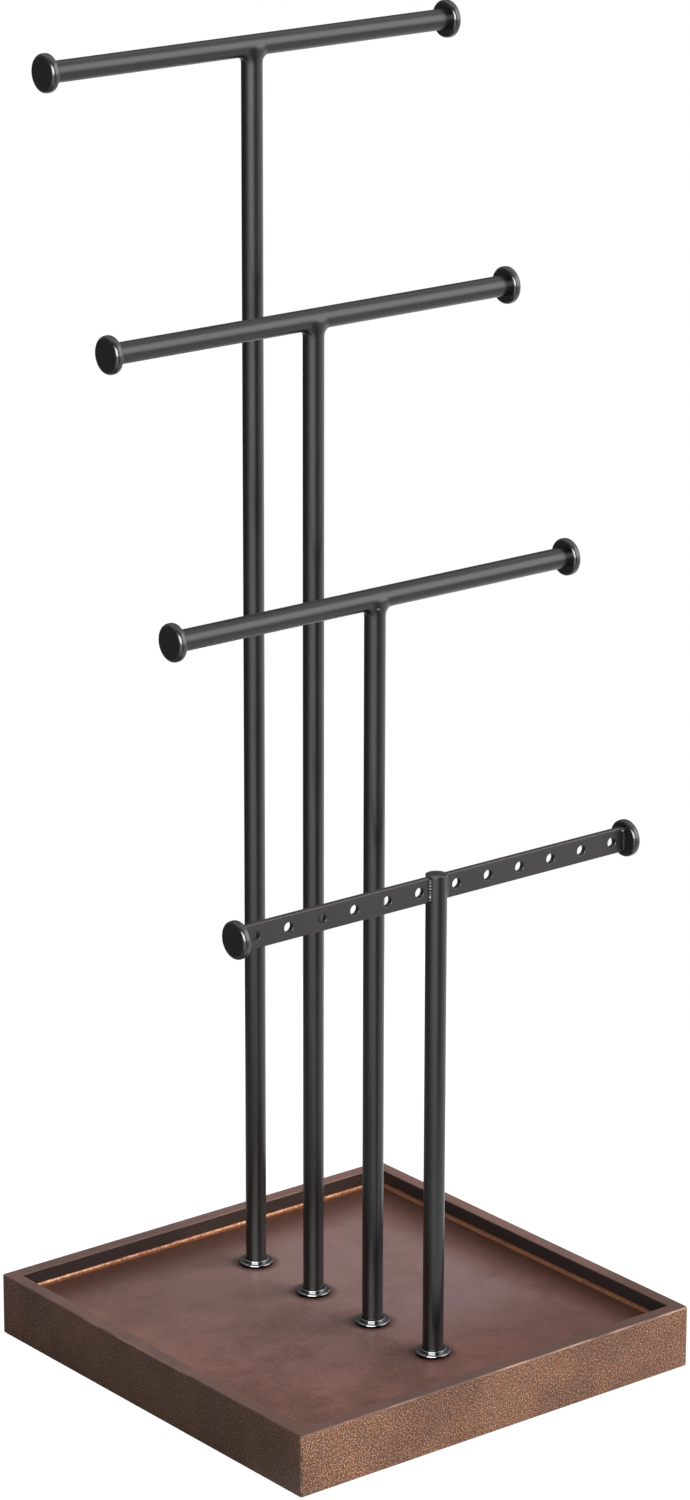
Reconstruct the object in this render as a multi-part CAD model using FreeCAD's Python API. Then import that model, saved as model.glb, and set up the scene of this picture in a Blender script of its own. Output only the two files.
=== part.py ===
import FreeCAD, Part
import os

# Four-tier jewellery stand: a square tray carries a row of four round posts.
# Tier 1 is the tallest, at the back; tiers 1 to 3 end in a round cross bar
# and tier 4, the shortest, at the front, carries a flat bar for earrings.
# Millimetres. +Z is up, X runs along the bars, -Y is the front.
# Origin: the middle of the tray, on the surface that the pads rest on.

V = FreeCAD.Vector

# ---- driving dimensions: tray ----
tray_side = 165.0
rail_height = 21.5
rail_thickness = 5.0
tray_depth = 6.0           # rim down to the tray floor
corner_radius = 1.0        # upright outer corners
outer_arris_radius = 0.6   # top outer edge of the rim
inner_arris_radius = 0.3
foot_chamfer = 0.4         # bottom outer edge
bead_radius = 1.2          # concave filler bead round the floor
bead_feather = 0.15        # thickness that the bead's edges run out to
pad_width = 12.0           # square felt pads
pad_thickness = 1.0
pad_inset = 14.0           # pad centre in from each side of the tray

# ---- driving dimensions: posts and cross bars ----
rod_diameter = 7.0
post_pitch = 32.0
bar_heights = [439.0, 355.0, 269.0, 179.5]   # bar axis above the pads' feet
bar_span = 165.0           # over the end discs
disc_diameter = 12.5
disc_thickness = 3.0
disc_chamfer = 0.7
weld_radius = 2.4          # fillet of weld, ground smooth, under each cross bar
cope_trim = 0.8            # horns of the coped post stop this far below the bar axis

# ---- driving dimensions: earring bar ----
flat_height = 8.5
flat_thickness = 2.0
flat_chamfer = 0.3
hole_diameter = 3.3
holes_per_side = 6
first_hole = 7.7           # nearest hole centre to the post axis
last_hole = 5.3            # furthest hole centre to the end disc
bead_weld_radius = 0.8
cap_rim = 0.3              # straight edge of the domed cap of weld
cap_crown = 0.6            # rise of its dome above that edge

# ---- driving dimensions: post fixing ----
collar_wall = 0.85
collar_length = 6.5        # below the tray floor
ring_height = 2.0          # above the tray floor
flange_width = 1.5
flange_thickness = 1.2
flange_chamfer = 0.4
screw_diameter = 4.0
screw_length = 20.0        # countersunk screw, over its head
head_diameter = 8.0
head_sunk = 0.3            # head below the underside of the panel
recess_width = 1.0         # cross recess in the screw head
recess_length = 4.4
recess_depth = 1.5
tap_run_out = 3.0          # tapped hole beyond the end of the screw

# ---- clearances ----
swivel_clearance = 0.05    # post in its collar, on the radius
thread_clearance = 0.05    # screw in the post's tapped hole, on the radius
shank_clearance = 0.3      # screw in the panel, on the radius
slot_clearance = 0.05      # flat bar in the post's slot, on each side

# ---- worked out ----
half_side = tray_side / 2
half_inner = half_side - rail_thickness
rim_z = pad_thickness + rail_height
floor_z = rim_z - tray_depth
rod_radius = rod_diameter / 2
collar_bore = rod_radius + swivel_clearance
collar_radius = collar_bore + collar_wall
flange_radius = collar_radius + flange_width
post_foot_z = floor_z - collar_length
screw_radius = screw_diameter / 2
head_radius = head_diameter / 2
head_low_z = pad_thickness + head_sunk
screw_top_z = head_low_z + screw_length
half_span = bar_span / 2 - disc_thickness    # post axis to the discs' inner faces
flat_tier = len(bar_heights)
post_ys = [(0.5 * (flat_tier - 1) - i) * post_pitch for i in range(flat_tier)]

ORIGIN = V(0, 0, 0)
X_AXIS = V(1, 0, 0)
Y_AXIS = V(0, 1, 0)
Z_AXIS = V(0, 0, 1)
overrun = 1.0              # cutting shapes run this far past what they cut
same = 1e-6                # heights closer than this are one height


def save(name, shape):
    shape.exportStep("parts/%s.step" % name)


def upright(radius, z_low, z_high, x=0.0, y=0.0):
    return Part.makeCylinder(radius, z_high - z_low, V(x, y, z_low), Z_AXIS)


def along_x(radius, x_low, x_high, z):
    return Part.makeCylinder(radius, x_high - x_low, V(x_low, 0, z), X_AXIS)


def block(x_low, x_high, y_low, y_high, z_low, z_high):
    size = (x_high - x_low, y_high - y_low, z_high - z_low)
    return Part.makeBox(*size, V(x_low, y_low, z_low))


def turned(outline):
    """Solid of revolution about Z, from a closed outline of (radius, z) points."""
    points = [V(radius, 0, z) for radius, z in outline + outline[:1]]
    return Part.Face(Part.makePolygon(points)).revolve(ORIGIN, Z_AXIS, 360)


def at_y(shape, y):
    copy = shape.copy()
    copy.translate(V(0, y, 0))
    return copy


def at_each_post(shape):
    return Part.makeCompound([at_y(shape, y) for y in post_ys])


def level_edges(shape, z, reach):
    """Edges that lie flat at height z, within reach of the Z axis in X and Y."""
    found = []
    for edge in shape.Edges:
        box = edge.BoundBox
        flat = abs(box.ZMin - z) < same and abs(box.ZMax - z) < same
        extent = max(-box.XMin, box.XMax, -box.YMin, box.YMax)
        if flat and extent <= reach + same:
            found.append(edge)
    return found


# ---- tray ----
def rail_frame():
    frame = block(-half_side, half_side, -half_side, half_side, pad_thickness, rim_z)
    corners = [edge for edge in frame.Edges if edge.BoundBox.ZLength > same]
    frame = frame.makeFillet(corner_radius, corners)
    frame = frame.makeFillet(outer_arris_radius, level_edges(frame, rim_z, half_side))
    frame = frame.makeChamfer(foot_chamfer, level_edges(frame, pad_thickness, half_side))
    opening = block(-half_inner, half_inner, -half_inner, half_inner, 0, rim_z + overrun)
    frame = frame.cut(opening)
    return frame.makeFillet(inner_arris_radius, level_edges(frame, rim_z, half_inner))


def mitre_wedge(turn):
    """Quarter of the plan, between two diagonals, round the side that faces -Y."""
    corners = [ORIGIN, V(-tray_side, -tray_side, 0), V(tray_side, -tray_side, 0), ORIGIN]
    wedge = Part.Face(Part.makePolygon(corners)).extrude(Z_AXIS * (rim_z + overrun))
    wedge.rotate(ORIGIN, Z_AXIS, turn)
    return wedge


def tray_panel():
    """Floor panel, bored for each post: a seat for the collar from above, a
    countersink for the screw head from below, and a hole between them."""
    panel = block(-half_inner, half_inner, -half_inner, half_inner, pad_thickness, floor_z)
    mouth = head_radius + head_sunk
    for y in post_ys:
        panel = panel.cut(upright(collar_radius, post_foot_z, floor_z + overrun, 0, y))
        panel = panel.cut(upright(screw_radius + shank_clearance, 0, floor_z, 0, y))
        panel = panel.cut(Part.makeCone(mouth, 0, mouth, V(0, y, pad_thickness), Z_AXIS))
    return panel


def seam_bead():
    """Concave bead that fills the corner between the tray floor and the rails."""
    top = floor_z + bead_feather + bead_radius
    ring = block(-half_inner, half_inner, -half_inner, half_inner, floor_z, top)
    reach = half_inner - bead_feather
    low = floor_z + bead_feather
    hollow = block(-reach, reach, -reach, reach, low, top + bead_radius)
    hollow = hollow.makeFillet(bead_radius, level_edges(hollow, low, reach))
    clear = reach - bead_radius
    return ring.cut(hollow).cut(block(-clear, clear, -clear, clear, 0, top))


def corner_pads():
    near = half_side - pad_inset - pad_width / 2
    far = near + pad_width
    pads = []
    for x_low, x_high in ((-far, -near), (near, far)):
        for y_low, y_high in ((-far, -near), (near, far)):
            pads.append(block(x_low, x_high, y_low, y_high, 0, pad_thickness))
    return Part.makeCompound(pads)


# ---- post fixing ----
def collar():
    """Flanged ferrule: a sleeve let into the panel, a flange on the tray floor
    and a raised ring that hugs the post."""
    outline = [
        (collar_bore, -collar_length),
        (collar_bore, ring_height),
        (collar_radius, ring_height),
        (collar_radius, flange_thickness),
        (flange_radius - flange_chamfer, flange_thickness),
        (flange_radius, flange_thickness - flange_chamfer),
        (flange_radius, 0),
        (collar_radius, 0),
        (collar_radius, -collar_length),
    ]
    sleeve = turned(outline)
    sleeve.translate(Z_AXIS * floor_z)
    return sleeve


def post_screw():
    """Countersunk machine screw, driven up from below, with a cross recess."""
    outline = [
        (0, head_low_z),
        (head_radius, head_low_z),
        (screw_radius, head_low_z + head_radius - screw_radius),
        (screw_radius, screw_top_z),
        (0, screw_top_z),
    ]
    screw = turned(outline)
    long = recess_length / 2
    short = recess_width / 2
    for x, y in ((long, short), (short, long)):
        screw = screw.cut(block(-x, x, -y, y, 0, head_low_z + recess_depth))
    return screw


def tapped_hole():
    return upright(screw_radius + thread_clearance, 0, screw_top_z + tap_run_out)


# ---- tiers ----
def t_post(height):
    """Round post, tapped at the foot. Its head is coped to the cross bar and
    flares along the bar in the two fillets of the weld that joins them. A
    quarter of it is shaped about the bar axis, then mirrored to the whole."""
    stub = rod_radius + 2 * weld_radius
    length = height - post_foot_z
    bar = along_x(rod_radius, 0, stub, 0)
    joined = bar.fuse(upright(rod_radius, -length, 0))
    joined = joined.common(block(0, stub, 0, stub, -length, rod_radius))
    boxes = [(edge, edge.BoundBox) for edge in joined.Edges]
    crease = [edge for edge, box in boxes if min(box.XLength, box.YLength, box.ZLength) > same]
    quarter = joined.makeFillet(weld_radius, crease).cut(bar)
    quarter = quarter.cut(block(0, stub, 0, stub, -cope_trim, rod_radius))
    half = quarter.fuse(quarter.mirror(ORIGIN, X_AXIS))
    post = half.fuse(half.mirror(ORIGIN, Y_AXIS)).removeSplitter()
    post.translate(Z_AXIS * height)
    return post.cut(tapped_hole())


def cross_bar(height):
    return along_x(rod_radius, -half_span, half_span, height)


def end_disc():
    """Disc for the +X end of a bar, with its inner face at x = 0."""
    rim = disc_diameter / 2
    outline = [
        (0, 0),
        (rim - disc_chamfer, 0),
        (rim, disc_chamfer),
        (rim, disc_thickness - disc_chamfer),
        (rim - disc_chamfer, disc_thickness),
        (0, disc_thickness),
    ]
    disc = turned(outline)
    disc.rotate(ORIGIN, Y_AXIS, 90)
    return disc


def end_discs(height):
    pair = []
    for turn, side in ((0, 1), (180, -1)):
        disc = end_disc()
        disc.rotate(ORIGIN, Z_AXIS, turn)
        disc.translate(V(side * half_span, 0, height))
        pair.append(disc)
    return Part.makeCompound(pair)


def flat_blank(height, grow=0.0):
    thick = flat_thickness / 2 + grow
    low = height - flat_height / 2
    return block(-half_span, half_span, -thick, thick, low, low + flat_height)


def earring_bar(height):
    bar = flat_blank(height)
    long_edges = [edge for edge in bar.Edges if edge.BoundBox.XLength > half_span]
    bar = bar.makeChamfer(flat_chamfer, long_edges)
    pitch = (half_span - last_hole - first_hole) / (holes_per_side - 1)
    for k in range(holes_per_side):
        for side in (-1, 1):
            start = V(side * (first_hole + k * pitch), -flat_thickness, height)
            bar = bar.cut(Part.makeCylinder(hole_diameter / 2, 2 * flat_thickness, start, Y_AXIS))
    return bar


def slotted_post(height):
    """Round post whose slot, open at the top, takes the flat bar flush."""
    post = upright(rod_radius, post_foot_z, height + flat_height / 2)
    return post.cut(flat_blank(height, slot_clearance)).cut(tapped_hole())


def cap_weld(height):
    """Dome of ground weld that closes the top of the slotted post."""
    low = height + flat_height / 2
    crown = low + cap_rim + cap_crown
    dome_radius = (rod_radius ** 2 + cap_crown ** 2) / (2 * cap_crown)
    dome = Part.makeSphere(dome_radius, V(0, 0, crown - dome_radius))
    return upright(rod_radius, low, crown).common(dome)


def bead_welds(height):
    """Upright runs of weld: flat bar to post, and flat bar to both end discs."""
    low = height - flat_height / 2 + flat_chamfer
    high = height + flat_height / 2 - flat_chamfer
    clear = flat_blank(height, slot_clearance).fuse(upright(rod_radius, low, high))
    clear = clear.fuse(end_discs(height).Solids)
    slot_edge = (rod_radius ** 2 - flat_thickness ** 2 / 4) ** 0.5
    beads = []
    for x in (-half_span, -slot_edge, slot_edge, half_span):
        for y in (-flat_thickness / 2, flat_thickness / 2):
            beads += upright(bead_weld_radius, low, high, x, y).cut(clear).Solids
    return beads


# ---- the stand ----
def build_tray():
    frame = rail_frame()
    for name, turn in (("front", 0), ("right", 90), ("back", 180), ("left", 270)):
        save("rail_" + name, frame.common(mitre_wedge(turn)))
    save("tray_panel", tray_panel())
    save("seam_bead", seam_bead())
    save("felt_pads", corner_pads())
    save("post_collars", at_each_post(collar()))
    save("post_screws", at_each_post(post_screw()))


def build_tier(number, height, y):
    pieces = {"end_discs": end_discs(height)}
    if number == flat_tier:
        pieces["post"] = slotted_post(height)
        pieces["earring_bar"] = earring_bar(height)
        pieces["welds"] = Part.makeCompound(bead_welds(height) + [cap_weld(height)])
    else:
        pieces["post"] = t_post(height)
        pieces["cross_bar"] = cross_bar(height)
    for name, shape in pieces.items():
        save("tier_%d_%s" % (number, name), at_y(shape, y))


os.makedirs("parts", exist_ok=True)
build_tray()
for index, (height, y) in enumerate(zip(bar_heights, post_ys)):
    build_tier(index + 1, height, y)
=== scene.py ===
import math

import bmesh
import bpy
from mathutils import Matrix, Vector, noise


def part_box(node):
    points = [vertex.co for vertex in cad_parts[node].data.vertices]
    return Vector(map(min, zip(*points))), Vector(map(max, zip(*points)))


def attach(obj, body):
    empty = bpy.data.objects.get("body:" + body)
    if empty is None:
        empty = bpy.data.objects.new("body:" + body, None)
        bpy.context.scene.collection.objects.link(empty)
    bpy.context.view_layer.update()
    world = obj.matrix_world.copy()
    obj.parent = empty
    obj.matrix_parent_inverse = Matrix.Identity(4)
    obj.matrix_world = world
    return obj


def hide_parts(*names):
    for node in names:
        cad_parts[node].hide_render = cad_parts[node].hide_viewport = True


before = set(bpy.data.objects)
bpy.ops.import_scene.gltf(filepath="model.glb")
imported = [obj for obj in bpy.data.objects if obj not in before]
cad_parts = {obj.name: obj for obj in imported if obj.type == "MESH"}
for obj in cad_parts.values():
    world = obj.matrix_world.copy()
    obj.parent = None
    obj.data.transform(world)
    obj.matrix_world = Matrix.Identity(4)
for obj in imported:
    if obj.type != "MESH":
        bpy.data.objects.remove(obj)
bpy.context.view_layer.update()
scene = bpy.context.scene
mm = 0.001
onPlane = 1e-6       # a vertex this near to a height or a side, in metres, counts as on it
cutGap = 1e-7        # for cuts, and for levels of one outline
mergeGap = 2e-6      # vertices this close are one in a finished piece
arrisAngle = 1.0     # radians: edges that turn more than this are arrises
print("frame loaded:", len(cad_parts), "nodes")


def middleOf(node):
    low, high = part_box(node)
    return (low + high) / 2


# sizes that several pieces share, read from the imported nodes
trayHalf = -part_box("rail_front")[0].y       # middle of the tray to its outside
trayInner = -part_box("rail_front")[1].y      # middle of the tray to the inside of a rail
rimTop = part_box("rail_front")[1].z
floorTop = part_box("tray_panel")[1].z
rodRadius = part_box("tier_4_post")[1].x
firstPost = middleOf("tier_4_post").y
postPitch = middleOf("tier_3_post").y - firstPost
tiers = (1, 2, 3, 4)
roundTiers = (1, 2, 3)


cameraSettings = {
    "place": (-1.01971, -1.28146, 0.73558),
    "azimuth": -38.5253,
    "elevation": 17.6687,
    "roll": 0.1062,
    "lens": 126.27,
    "sensor": 36.0,
    "clip": (0.05, 50),        # nearest and furthest, in metres
}


def addCamera(s):
    azimuth, elevation, roll = (math.radians(s[k]) for k in ("azimuth", "elevation", "roll"))
    back = Vector((math.sin(azimuth) * math.cos(elevation),
                   -math.cos(azimuth) * math.cos(elevation), math.sin(elevation)))
    right = Vector((math.cos(azimuth), math.sin(azimuth), 0))
    up = back.cross(right)
    tiltedRight = right * math.cos(roll) + up * math.sin(roll)
    tiltedUp = up * math.cos(roll) - right * math.sin(roll)
    turn = Matrix((tiltedRight, tiltedUp, back)).transposed().to_4x4()
    data = bpy.data.cameras.new("standCamera")
    data.lens = s["lens"]
    data.sensor_width = s["sensor"]
    data.clip_start, data.clip_end = s["clip"]
    camera = bpy.data.objects.new("standCamera", data)
    camera.matrix_world = Matrix.Translation(s["place"]) @ turn
    scene.collection.objects.link(camera)
    scene.camera = camera


addCamera(cameraSettings)
scene.view_settings.view_transform = "Standard"
print("camera placed")


def addNode(tree, kind, inputs=None, **settings):
    node = tree.nodes.new(kind)
    for key, value in settings.items():
        setattr(node, key, value)
    for key, value in (inputs or {}).items():
        socket = node.inputs[key]
        if isinstance(value, bpy.types.NodeSocket):
            tree.links.new(value, socket)
        else:
            socket.default_value = value
    return node


def maths(tree, operation, a, b=0.0, clamp=False):
    return addNode(tree, "ShaderNodeMath", {0: a, 1: b}, operation=operation,
                   use_clamp=clamp).outputs[0]


def product(tree, first, *others):
    for other in others:
        first = maths(tree, "MULTIPLY", first, other)
    return first


def remap(tree, value, low, high, toLow=0.0, toHigh=1.0):
    node = addNode(tree, "ShaderNodeMapRange",
                   {"Value": value, "From Min": low, "From Max": high,
                    "To Min": toLow, "To Max": toHigh}, interpolation_type="SMOOTHSTEP")
    return node.outputs["Result"]


def blendColours(tree, factor, first, second):
    node = addNode(tree, "ShaderNodeMix", data_type="RGBA")
    for index, value in ((0, factor), (6, first), (7, second)):
        if isinstance(value, bpy.types.NodeSocket):
            tree.links.new(value, node.inputs[index])
        else:
            node.inputs[index].default_value = value
    return node.outputs[2]


def cloud(tree, where, scale, detail=2.0, roughness=0.6):
    return addNode(tree, "ShaderNodeTexNoise", {"Vector": where, "Scale": scale, "Detail": detail,
                                                "Roughness": roughness}).outputs["Fac"]


def objectCoordinates(tree):
    return addNode(tree, "ShaderNodeTexCoord").outputs["Object"]


def colour(red, green, blue):
    return (red, green, blue, 1.0)


def newGroup(name, inputs, outputs):
    group = bpy.data.node_groups.new(name, "ShaderNodeTree")
    for label, default in inputs.items():
        socket = group.interface.new_socket(label, in_out="INPUT", socket_type="NodeSocketFloat")
        socket.default_value = default
    for label in outputs:
        group.interface.new_socket(label, in_out="OUTPUT", socket_type="NodeSocketFloat")
    into = group.nodes.new("NodeGroupInput").outputs
    out = group.nodes.new("NodeGroupOutput").inputs
    return group, into, out


def useGroup(tree, group, **inputs):
    node = tree.nodes.new("ShaderNodeGroup")
    node.node_tree = group
    for key, value in inputs.items():
        node.inputs[key].default_value = value
    return node.outputs


def newMaterial(name, **constants):
    material = bpy.data.materials.new(name)
    material.use_nodes = True
    tree = material.node_tree
    shader = tree.nodes["Principled BSDF"]
    for label, value in constants.items():
        shader.inputs[label].default_value = value
    return material, tree, shader


def addBump(tree, shader, height, strength, distance):
    bump = addNode(tree, "ShaderNodeBump",
                   {"Height": height, "Strength": strength, "Distance": distance})
    tree.links.new(bump.outputs["Normal"], shader.inputs["Normal"])


speckleSettings = {
    "patchRange": (0.34, 0.66), "patchDetail": 4.0,
    "fleckRange": (0.46, 0.70), "fleckDetail": 1.0, "fleckRoughness": 0.5,
    "inDark": 0.75,            # share of the flecks left in the darkest patches
}


def makeSpeckle(s):
    # small bright flecks over broad patches, as in sprayed bronze lacquer
    group, into, out = newGroup("paintSpeckle", {"Grain": 1000.0, "Patch": 60.0},
                                ("Fleck", "Patches", "Height"))
    where = objectCoordinates(group)
    fine = cloud(group, where, into["Grain"], s["fleckDetail"], s["fleckRoughness"])
    patches = cloud(group, where, into["Patch"], s["patchDetail"])
    patches = remap(group, patches, *s["patchRange"])
    fleck = product(group, remap(group, fine, *s["fleckRange"]),
                    remap(group, patches, 0, 1, s["inDark"], 1))
    for source, name in ((fleck, "Fleck"), (patches, "Patches"), (fine, "Height")):
        group.links.new(source, out[name])
    return group


traySizes = {"Half": trayHalf, "Inner": trayInner, "Top": rimTop}
zoneSettings = {
    # a mask goes from 0 at the first place to 1 at the second; two more values stand for 0 and 1
    # where the floor carries a painted sheen
    "sheenX": (-80 * mm, 40 * mm), "sheenRight": (66 * mm, 50 * mm),
    "sheenY": (-62 * mm, -10 * mm), "sheenBack": (68 * mm, 52 * mm),
    # painted light over the rear half of the floor
    "paintedLightY": (-15 * mm, 30 * mm), "paintedLightBack": (72 * mm, 60 * mm),
    # painted shade on the rim towards the front
    "frontShadeX": (-60 * mm, 60 * mm, 0.7, 1), "frontShadeY": (-20 * mm, -70 * mm),
    # painted highlight: stronger flecks near the front corner
    "nearHighlightX": (-10 * mm, -75 * mm), "nearHighlightY": (-70 * mm, -80 * mm),
    # painted shade over the floor's -Y half, deeper towards +X
    "closeShadeX": (-40 * mm, 60 * mm, 0.15, 0.55), "closeShadeY": (-8 * mm, -56 * mm),
    "collarShadow": (9.5 * mm, 5.7 * mm),       # painted shadow round the collars: distances from a post's axis
    # distances past the outside, the inner walls or the top of the rim
    "rimTop": (-0.5 * mm, -0.2 * mm), "insideWall": (0.3 * mm, 0.1 * mm),
    # the left face, where fewer flecks are painted shade
    "shadedLeftSide": (-0.6 * mm, -0.2 * mm), "corner": (-0.9 * mm, -0.4 * mm),
    # outer arrises, lightened as worn paint and a painted highlight
    "edgeSide": (-0.5 * mm, -0.3 * mm), "edgeTop": (-0.75 * mm, -0.35 * mm),
    # painted shade at the foot of the walls: the shadow the +X and +Y rails cast, and the walls'
    # dark reflection all round
    "footShadeDeep": (-28 * mm, -4 * mm), "footShadeRound": (-7 * mm, -1 * mm),
    "backStep": 2 * mm,        # the painted shade at the foot is this much narrower at the back
    "wearScale": 28.0, "wearDetail": 3.0, "wearRange": (0.46, 0.6),
}


def makeZones(s):
    # where a point of the tray lies: rim, inner walls, painted shade at the foot of the walls,
    # worn outer edges with a painted highlight, painted sheen and painted light on the floor,
    # painted shadow round the collars, painted shade on the rim's front and the left face,
    # painted highlight at the near corner
    group, into, out = newGroup(
        "trayZones", traySizes,
        ("Rim", "Wall", "FootShade", "EdgeWearAndHighlight", "PaintedSheen", "PaintedLight", "CollarShadow", "FrontShade", "Left", "NearHighlight"))
    where = objectCoordinates(group)
    x, y, z = addNode(group, "ShaderNodeSeparateXYZ", {0: where}).outputs

    def between(value, name):
        return remap(group, value, *s[name])

    def past(value, start, name):
        return between(maths(group, "SUBTRACT", value, start), name)

    deep = maths(group, "MAXIMUM", x, maths(group, "SUBTRACT", y, s["backStep"]))
    # painted shade over the floor's -Y half
    closeShade = product(group, between(y, "closeShadeY"), between(x, "closeShadeX"))
    # painted light over the rear half of the floor
    paintedLight = product(group, between(y, "paintedLightY"), between(y, "paintedLightBack"))
    # painted sheen on the floor
    paintedSheen = product(group, between(x, "sheenX"), between(x, "sheenRight"),
                   between(y, "sheenY"), between(y, "sheenBack"))
    # painted shade on the rim towards the front
    front = product(group, between(y, "frontShadeY"), between(x, "frontShadeX"))
    # painted highlight: stronger flecks near the front corner
    nearHighlight = product(group, between(x, "nearHighlightX"), between(y, "nearHighlightY"))
    # the posts stand one pitch apart, so folding y brings them all to one place
    folded = maths(group, "PINGPONG", maths(group, "SUBTRACT", y, firstPost), postPitch / 2)
    reach = maths(group, "SQRT", maths(group, "ADD", product(group, x, x),
                                       product(group, folded, folded)))
    # the left face, which takes painted shade
    left = past(maths(group, "MULTIPLY", x, -1.0), into["Half"], "shadedLeftSide")
    x, y = (maths(group, "ABSOLUTE", v) for v in (x, y))
    far = maths(group, "MAXIMUM", x, y)
    near = maths(group, "MINIMUM", x, y)
    rim = past(z, into["Top"], "rimTop")
    wall = product(group, past(far, into["Inner"], "insideWall"),
                   maths(group, "SUBTRACT", 1.0, rim))
    # worn paint and a painted highlight along the outer arrises
    topEdge = product(group, past(far, into["Half"], "edgeSide"), past(z, into["Top"], "edgeTop"))
    corner = past(near, into["Half"], "corner")
    worn = between(cloud(group, where, s["wearScale"], s["wearDetail"]), "wearRange")
    edge = product(group, maths(group, "MAXIMUM", topEdge, corner), worn)
    # painted shade at the foot of the walls
    foot = maths(group, "MAXIMUM", past(deep, into["Inner"], "footShadeDeep"),
                 past(far, into["Inner"], "footShadeRound"))
    masks = {"Rim": rim, "Wall": wall, "FootShade": maths(group, "MAXIMUM", foot, closeShade),
             "EdgeWearAndHighlight": edge, "PaintedSheen": paintedSheen, "PaintedLight": paintedLight, "CollarShadow": between(reach, "collarShadow"),
             "FrontShade": front, "Left": left, "NearHighlight": nearHighlight}
    for name, mask in masks.items():
        group.links.new(mask, out[name])
    return group


satinSettings = {
    "driftDetail": 3.0, "driftMiddle": 0.5,
    "swing": 4.0,              # brings the drift to its full spread
}


def makeSatin(s):
    # slight unevenness of a sprayed or plated metal surface
    group, into, out = newGroup(
        "satinUnevenness", {"Grain": 3000.0, "Drift": 25.0, "Roughness": 0.4, "Spread": 0.06},
        ("Roughness", "Shade", "Height"))
    where = objectCoordinates(group)
    drift = cloud(group, where, into["Drift"], s["driftDetail"])
    swing = product(group, maths(group, "SUBTRACT", drift, s["driftMiddle"]),
                    into["Spread"], s["swing"])
    group.links.new(maths(group, "ADD", into["Roughness"], swing, True), out["Roughness"])
    group.links.new(drift, out["Shade"])
    group.links.new(cloud(group, where, into["Grain"]), out["Height"])
    return group


speckleGroup = makeSpeckle(speckleSettings)
zonesGroup = makeZones(zoneSettings)
satinGroup = makeSatin(satinSettings)


railPaintSettings = {
    "dark": colour(0.070, 0.028, 0.0155), "light": colour(0.116, 0.050, 0.028),
    "fleck": colour(0.86, 0.44, 0.245), "fleckShare": 0.64, "fleckMetal": 0.4,
    "shadedLeftFleck": 0.6, "nearHighlightShare": 0.84,      # on the left face, fewer flecks as painted shade, and near the front corner, more as painted highlight
    # the rim's colours are lightened and greyed with painted sheen
    "rim": colour(0.113, 0.063, 0.054), "rimLight": colour(0.161, 0.086, 0.073),
    # painted shade on the rim towards the front
    "rimFrontShade": colour(0.070, 0.034, 0.025), "rimFrontShadeShare": 0.8,
    "wall": colour(0.027, 0.0125, 0.0095),
    # worn paint and a painted highlight on the outer arrises
    "edge": colour(0.58, 0.35, 0.24), "edgeWearAndHighlightShare": 0.5,
    "grain": 2000.0, "patch": 42.0, "specular": 0.35, "bump": 0.3, "bumpDepth": 0.2 * mm,
    "roughness": (0.52, 0.40),                # between the flecks, and on them
}


def makeRailPaint(s):
    material, tree, shader = newMaterial("railPaint", **{"Specular IOR Level": s["specular"]})
    speckle = useGroup(tree, speckleGroup, Grain=s["grain"], Patch=s["patch"])
    zones = useGroup(tree, zonesGroup, **traySizes)
    outside = maths(tree, "SUBTRACT", 1.0, maths(tree, "MAXIMUM", zones["Rim"], zones["Wall"]))
    # fewer flecks on the left face as painted shade
    fleck = product(tree, speckle["Fleck"], outside,
                    remap(tree, zones["Left"], 0, 1, 1, s["shadedLeftFleck"]))
    shade = blendColours(tree, speckle["Patches"], s["dark"], s["light"])
    # more flecks near the front corner as painted highlight
    share = remap(tree, zones["NearHighlight"], 0, 1, s["fleckShare"], s["nearHighlightShare"])
    shade = blendColours(tree, product(tree, fleck, share), shade, s["fleck"])
    # rim colours, which carry painted sheen
    rimShade = blendColours(tree, speckle["Patches"], s["rim"], s["rimLight"])
    # painted shade: the rim darkens towards the front
    front = product(tree, zones["FrontShade"], s["rimFrontShadeShare"])
    rimShade = blendColours(tree, front, rimShade, s["rimFrontShade"])
    shade = blendColours(tree, zones["Rim"], shade, rimShade)
    shade = blendColours(tree, zones["Wall"], shade, s["wall"])
    # worn paint and a painted highlight on the outer arrises
    shade = blendColours(tree, product(tree, zones["EdgeWearAndHighlight"], s["edgeWearAndHighlightShare"]), shade, s["edge"])
    tree.links.new(shade, shader.inputs["Base Color"])
    tree.links.new(product(tree, fleck, s["fleckMetal"]), shader.inputs["Metallic"])
    tree.links.new(remap(tree, speckle["Fleck"], 0, 1, *s["roughness"]),
                   shader.inputs["Roughness"])
    addBump(tree, shader, product(tree, speckle["Height"], outside), s["bump"], s["bumpDepth"])
    return material


floorPaintSettings = {
    # dark and light also carry part of the floor's sheen, painted in
    "dark": colour(0.094, 0.040, 0.029), "light": colour(0.182, 0.083, 0.065),
    "fleck": colour(0.28, 0.150, 0.110), "fleckShare": 0.45,
    # painted sheen: a grey-violet reflection painted into the floor's colour
    "paintedSheen": colour(0.174, 0.124, 0.132), "paintedSheenShare": 0.72, "paintedSheenInDark": 0.5,
    # painted light over the rear half of the floor
    "paintedLight": colour(0.250, 0.150, 0.125), "paintedLightShare": 0.25,
    # painted shade at the foot of the walls and, with the second share, painted shadow round the
    # collars
    "foot": colour(0.036, 0.009, 0.004), "footShadeShare": 0.92, "collarShadowShare": 0.85,
    "grain": 1300.0, "patch": 36.0, "specular": 0.5, "bump": 0.16, "bumpDepth": 0.2 * mm,
    "roughness": (0.46, 0.38),                # in dark patches and in light ones
}


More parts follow.
